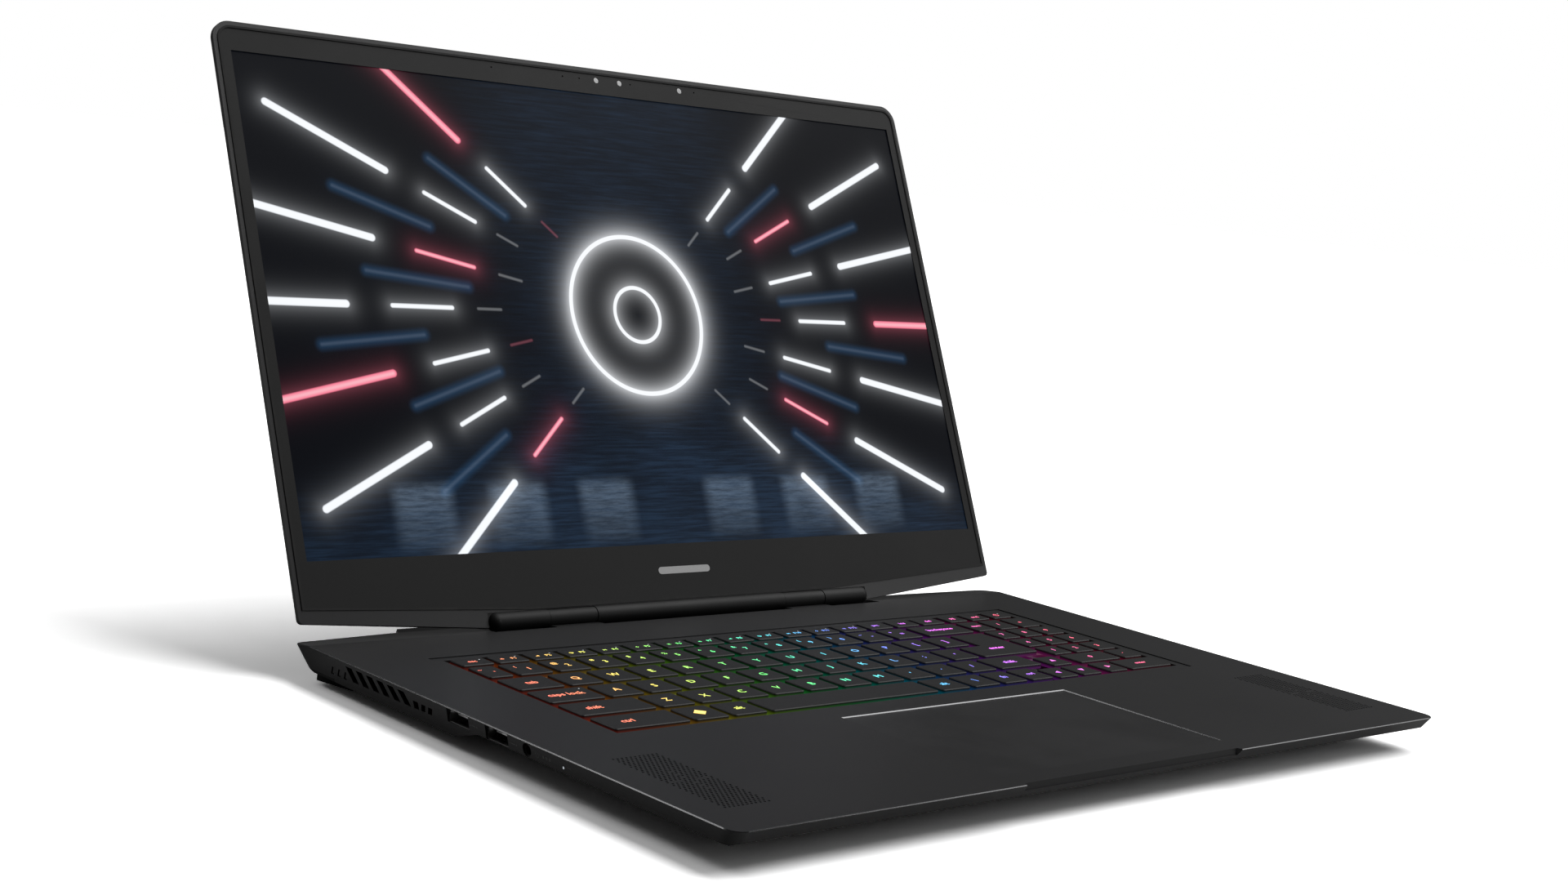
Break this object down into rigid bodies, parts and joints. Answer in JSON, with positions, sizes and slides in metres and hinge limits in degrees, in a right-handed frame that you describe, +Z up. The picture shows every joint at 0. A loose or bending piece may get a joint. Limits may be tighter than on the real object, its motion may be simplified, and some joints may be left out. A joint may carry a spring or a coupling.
{
  "type": "laptop computer",
  "caption": "Slim full-size gaming laptop, lid open: hinged screen, sunken backlit keyboard with number pad, wide touchpad, side vents and sockets.",
  "frame": {"origin": "on the table, below the middle of the open laptop's own box", "axes": "+Z up, +Y from the user to the hinges, +X to the user's right"},
  "size_m": [0.3976, 0.3661, 0.251],
  "materials": {
    "dark_metal": "fine matte coating on magnesium-aluminium",
    "keycap": "matte",
    "barrel_plastic": "satin",
    "bezel_plastic": "fine matte",
    "soft_rubber": "matte",
    "screen": "anti-glare display",
    "lens_glass": "polished",
    "pad_glass": "satin etched",
    "light_guide": "clear light pipe",
    "circuit_board": "solder mask",
    "cable_sleeve": "taped",
    "hinge_steel": "brushed",
    "socket_steel": "plated",
    "copper": "bare copper",
    "battery_wrap": "film wrap"
  },
  "bodies": {
    "base": {"top_case": "dark_metal", "bottom_cover": "dark_metal", "bottom_screws": "hinge_steel", "rear_feet": "soft_rubber", "front_feet": "soft_rubber", "speaker_grilles": "dark_metal", "speaker_modules": "bezel_plastic", "touchpad_bracket": "hinge_steel", "status_led": "light_guide", "hinge_knuckles": "barrel_plastic", "hinge_base_brackets": "hinge_steel", "keyboard_plate": "keycap", "switch_membrane": "keycap", "mainboard": "circuit_board", "heat_spreader": "copper", "heat_pipes": "copper", "fin_stacks": "copper", "fan_housing_left": "bezel_plastic", "fan_housing_right": "bezel_plastic", "battery_pack": "battery_wrap", "memory_modules": "circuit_board", "ssd_module": "circuit_board", "wireless_card": "circuit_board", "usb_a_ports": "socket_steel", "usb_c_ports": "socket_steel", "audio_jack": "bezel_plastic", "card_reader": "socket_steel", "power_port": "bezel_plastic", "ethernet_port": "socket_steel", "hdmi_port": "socket_steel"},
    "lid": {"lid_back_cover": "dark_metal", "screen_gasket": "soft_rubber", "screen_bezel": "bezel_plastic", "lcd_panel": "screen", "webcam_board": "circuit_board", "camera_lenses": "lens_glass", "display_cable": "cable_sleeve", "hinge_center_cover": "barrel_plastic", "hinge_caps": "barrel_plastic", "hinge_lid_brackets": "hinge_steel", "hinge_shafts": "hinge_steel"},
    "function_keys_body": {"function_keys": "keycap"},
    "power_key_body": {"power_key": "keycap"},
    "number_keys_body": {"number_keys": "keycap"},
    "backspace_key_body": {"backspace_key": "keycap"},
    "tab_key_body": {"tab_key": "keycap"},
    "top_letter_keys_body": {"top_letter_keys": "keycap"},
    "caps_lock_key_body": {"caps_lock_key": "keycap"},
    "home_letter_keys_body": {"home_letter_keys": "keycap"},
    "enter_key_body": {"enter_key": "keycap"},
    "left_shift_key_body": {"left_shift_key": "keycap"},
    "low_letter_keys_body": {"low_letter_keys": "keycap"},
    "right_shift_key_body": {"right_shift_key": "keycap"},
    "modifier_keys_body": {"modifier_keys": "keycap"},
    "space_bar_body": {"space_bar": "keycap"},
    "arrow_keys_body": {"arrow_keys": "keycap"},
    "keypad_keys_body": {"keypad_keys": "keycap"},
    "touchpad_body": {"touchpad": "pad_glass"},
    "fan_left_body": {"fan_rotor_left": "bezel_plastic"},
    "fan_right_body": {"fan_rotor_right": "bezel_plastic"}
  },
  "joints": [
    {"name": "lid_hinge", "type": "hinge", "parent": "base", "child": "lid", "pos_m": [0, 0.07447, 0.017], "axis": [-1, 0, 0], "range_deg": [-114.7, 35.3]},
    {"name": "function_keys_press", "type": "slide", "parent": "base", "child": "function_keys_body", "axis": [0, 0, -1], "range_m": [0, 0.0015]},
    {"name": "power_key_press", "type": "slide", "parent": "base", "child": "power_key_body", "axis": [0, 0, -1], "range_m": [0, 0.0015]},
    {"name": "number_keys_press", "type": "slide", "parent": "base", "child": "number_keys_body", "axis": [0, 0, -1], "range_m": [0, 0.0015]},
    {"name": "backspace_key_press", "type": "slide", "parent": "base", "child": "backspace_key_body", "axis": [0, 0, -1], "range_m": [0, 0.0015]},
    {"name": "tab_key_press", "type": "slide", "parent": "base", "child": "tab_key_body", "axis": [0, 0, -1], "range_m": [0, 0.0015]},
    {"name": "top_letter_keys_press", "type": "slide", "parent": "base", "child": "top_letter_keys_body", "axis": [0, 0, -1], "range_m": [0, 0.0015]},
    {"name": "caps_lock_key_press", "type": "slide", "parent": "base", "child": "caps_lock_key_body", "axis": [0, 0, -1], "range_m": [0, 0.0015]},
    {"name": "home_letter_keys_press", "type": "slide", "parent": "base", "child": "home_letter_keys_body", "axis": [0, 0, -1], "range_m": [0, 0.0015]},
    {"name": "enter_key_press", "type": "slide", "parent": "base", "child": "enter_key_body", "axis": [0, 0, -1], "range_m": [0, 0.0015]},
    {"name": "left_shift_key_press", "type": "slide", "parent": "base", "child": "left_shift_key_body", "axis": [0, 0, -1], "range_m": [0, 0.0015]},
    {"name": "low_letter_keys_press", "type": "slide", "parent": "base", "child": "low_letter_keys_body", "axis": [0, 0, -1], "range_m": [0, 0.0015]},
    {"name": "right_shift_key_press", "type": "slide", "parent": "base", "child": "right_shift_key_body", "axis": [0, 0, -1], "range_m": [0, 0.0015]},
    {"name": "modifier_keys_press", "type": "slide", "parent": "base", "child": "modifier_keys_body", "axis": [0, 0, -1], "range_m": [0, 0.0015]},
    {"name": "space_bar_press", "type": "slide", "parent": "base", "child": "space_bar_body", "axis": [0, 0, -1], "range_m": [0, 0.0015]},
    {"name": "arrow_keys_press", "type": "slide", "parent": "base", "child": "arrow_keys_body", "axis": [0, 0, -1], "range_m": [0, 0.0015]},
    {"name": "keypad_keys_press", "type": "slide", "parent": "base", "child": "keypad_keys_body", "axis": [0, 0, -1], "range_m": [0, 0.0015]},
    {"name": "touchpad_click", "type": "hinge", "parent": "base", "child": "touchpad_body", "pos_m": [0, -0.09073, 0.0144], "axis": [1, 0, 0], "range_deg": [0, 0.25]},
    {"name": "fan_left_spin", "type": "hinge", "parent": "base", "child": "fan_left_body", "pos_m": [-0.118, 0.00697, 0.00765], "axis": [0, 0, 1], "continuous": true},
    {"name": "fan_right_spin", "type": "hinge", "parent": "base", "child": "fan_right_body", "pos_m": [0.118, 0.00697, 0.00765], "axis": [0, 0, 1], "continuous": true}
  ]
}
